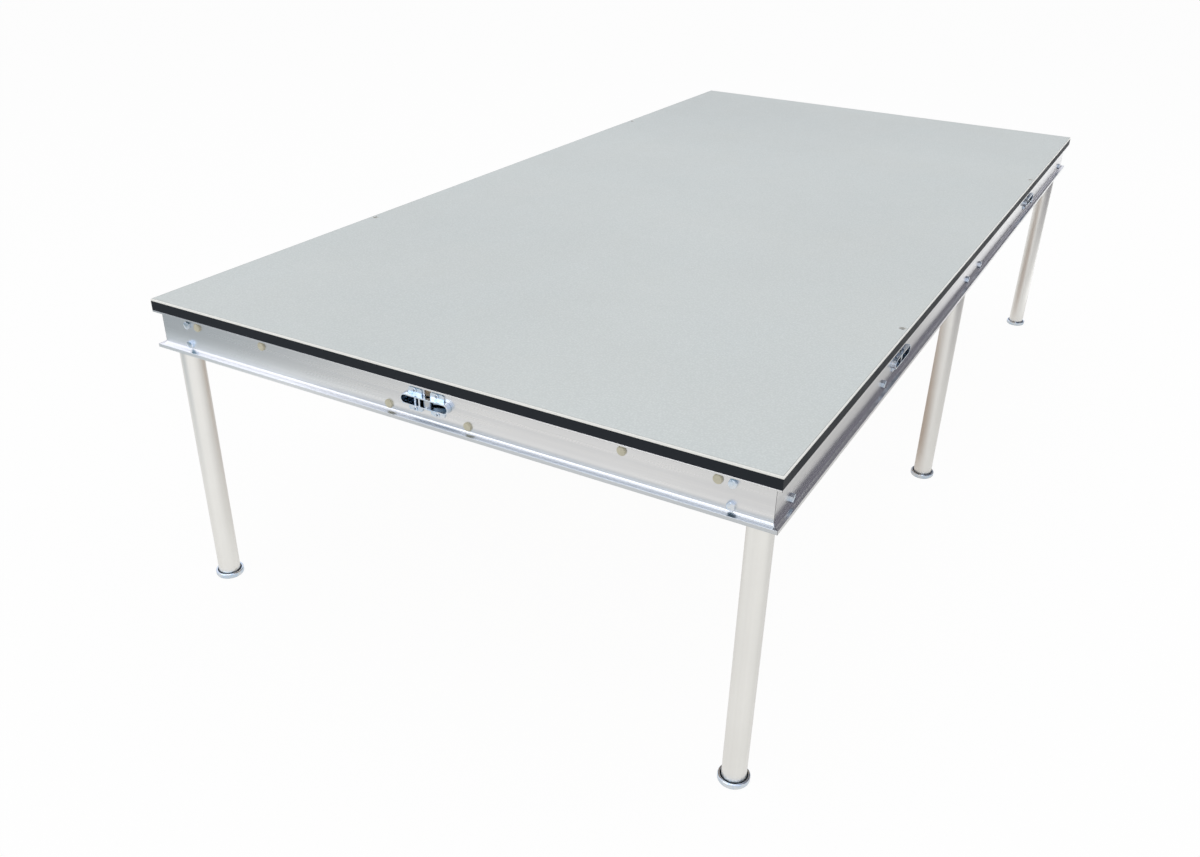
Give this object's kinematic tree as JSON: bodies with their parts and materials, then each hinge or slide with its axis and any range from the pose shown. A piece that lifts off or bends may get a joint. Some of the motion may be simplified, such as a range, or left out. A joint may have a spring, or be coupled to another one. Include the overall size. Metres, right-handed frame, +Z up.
{
  "type": "stage deck",
  "caption": "Portable stage deck with an anti-slip top, an extruded aluminium frame, push-in tube legs on levelling feet and hook locks in its sides.",
  "frame": {"origin": "on the floor under the middle of the deck", "axes": "+X along the deck's length, +Y across it from the front to the back, +Z up"},
  "size_m": [2.44, 1.22, 0.61],
  "materials": {
    "sheet": "pale grey anti-slip facing, fine pressed mesh",
    "core": "birch plywood",
    "band": "black edge band",
    "extrusion": "mill-finish extrusion, drawn grain along its length",
    "tube": "satin drawn tube",
    "casting": "machined block",
    "zinc": "bright zinc plate with a blue passivate",
    "zinc_dark": "zinc-plated hardened steel",
    "nylon": "pale beige nylon",
    "cap": "grey moulded cap"
  },
  "bodies": {
    "deck": {"deck_sheet": "sheet", "deck_core": "core", "edge_band": "band", "key_hole_plugs": "cap", "front_rail": "extrusion", "right_rail": "extrusion", "back_rail": "extrusion", "left_rail": "extrusion", "left_bearer": "extrusion", "middle_bearer": "extrusion", "right_bearer": "extrusion", "bearer_cleats": "extrusion", "bearer_bolts": "zinc", "bearer_nuts": "zinc", "deck_screws": "zinc", "web_buffers": "nylon", "socket_bolts": "zinc", "socket_nuts": "zinc", "clamp_bolts": "zinc", "clamp_nuts": "zinc", "catch_pins": "zinc", "lock_screws": "zinc", "front_left_socket": "casting", "front_middle_socket": "casting", "front_right_socket": "casting", "back_left_socket": "casting", "back_middle_socket": "casting", "back_right_socket": "casting", "front_left_lock": "zinc", "front_right_lock": "zinc", "back_left_lock": "zinc", "back_right_lock": "zinc", "left_end_lock": "zinc", "right_end_lock": "zinc"},
    "front_left_leg": {"front_left_leg": "tube", "front_left_plug": "casting"},
    "front_left_foot": {"front_left_foot": "zinc"},
    "front_middle_leg": {"front_middle_leg": "tube", "front_middle_plug": "casting"},
    "front_middle_foot": {"front_middle_foot": "zinc"},
    "front_right_leg": {"front_right_leg": "tube", "front_right_plug": "casting"},
    "front_right_foot": {"front_right_foot": "zinc"},
    "back_left_leg": {"back_left_leg": "tube", "back_left_plug": "casting"},
    "back_left_foot": {"back_left_foot": "zinc"},
    "back_middle_leg": {"back_middle_leg": "tube", "back_middle_plug": "casting"},
    "back_middle_foot": {"back_middle_foot": "zinc"},
    "back_right_leg": {"back_right_leg": "tube", "back_right_plug": "casting"},
    "back_right_foot": {"back_right_foot": "zinc"},
    "front_left_hook": {"front_left_hook": "zinc_dark"},
    "front_right_hook": {"front_right_hook": "zinc_dark"},
    "back_left_hook": {"back_left_hook": "zinc_dark"},
    "back_right_hook": {"back_right_hook": "zinc_dark"},
    "left_end_hook": {"left_end_hook": "zinc_dark"},
    "right_end_hook": {"right_end_hook": "zinc_dark"}
  },
  "joints": [
    {"name": "front_left_leg_slide", "type": "slide", "parent": "deck", "child": "front_left_leg", "axis": [0, 0, -1], "range_m": [0, 0.06]},
    {"name": "front_left_foot_level", "type": "slide", "parent": "front_left_leg", "child": "front_left_foot", "axis": [0, 0, -1], "range_m": [0, 0.025]},
    {"name": "front_middle_leg_slide", "type": "slide", "parent": "deck", "child": "front_middle_leg", "axis": [0, 0, -1], "range_m": [0, 0.06]},
    {"name": "front_middle_foot_level", "type": "slide", "parent": "front_middle_leg", "child": "front_middle_foot", "axis": [0, 0, -1], "range_m": [0, 0.025]},
    {"name": "front_right_leg_slide", "type": "slide", "parent": "deck", "child": "front_right_leg", "axis": [0, 0, -1], "range_m": [0, 0.06]},
    {"name": "front_right_foot_level", "type": "slide", "parent": "front_right_leg", "child": "front_right_foot", "axis": [0, 0, -1], "range_m": [0, 0.025]},
    {"name": "back_left_leg_slide", "type": "slide", "parent": "deck", "child": "back_left_leg", "axis": [0, 0, -1], "range_m": [0, 0.06]},
    {"name": "back_left_foot_level", "type": "slide", "parent": "back_left_leg", "child": "back_left_foot", "axis": [0, 0, -1], "range_m": [0, 0.025]},
    {"name": "back_middle_leg_slide", "type": "slide", "parent": "deck", "child": "back_middle_leg", "axis": [0, 0, -1], "range_m": [0, 0.06]},
    {"name": "back_middle_foot_level", "type": "slide", "parent": "back_middle_leg", "child": "back_middle_foot", "axis": [0, 0, -1], "range_m": [0, 0.025]},
    {"name": "back_right_leg_slide", "type": "slide", "parent": "deck", "child": "back_right_leg", "axis": [0, 0, -1], "range_m": [0, 0.06]},
    {"name": "back_right_foot_level", "type": "slide", "parent": "back_right_leg", "child": "back_right_foot", "axis": [0, 0, -1], "range_m": [0, 0.025]},
    {"name": "front_left_hook_turn", "type": "hinge", "parent": "deck", "child": "front_left_hook", "pos_m": [-0.608, -0.599, 0.558], "axis": [0, 0, -1], "range_deg": [0, 90]},
    {"name": "front_right_hook_turn", "type": "hinge", "parent": "deck", "child": "front_right_hook", "pos_m": [0.612, -0.599, 0.558], "axis": [0, 0, -1], "range_deg": [0, 90]},
    {"name": "back_left_hook_turn", "type": "hinge", "parent": "deck", "child": "back_left_hook", "pos_m": [-0.612, 0.599, 0.558], "axis": [0, 0, -1], "range_deg": [0, 90]},
    {"name": "back_right_hook_turn", "type": "hinge", "parent": "deck", "child": "back_right_hook", "pos_m": [0.608, 0.599, 0.558], "axis": [0, 0, -1], "range_deg": [0, 90]},
    {"name": "left_end_hook_turn", "type": "hinge", "parent": "deck", "child": "left_end_hook", "pos_m": [-1.209, -0.002, 0.558], "axis": [0, 0, -1], "range_deg": [0, 90]},
    {"name": "right_end_hook_turn", "type": "hinge", "parent": "deck", "child": "right_end_hook", "pos_m": [1.209, 0.002, 0.558], "axis": [0, 0, -1], "range_deg": [0, 90]}
  ]
}
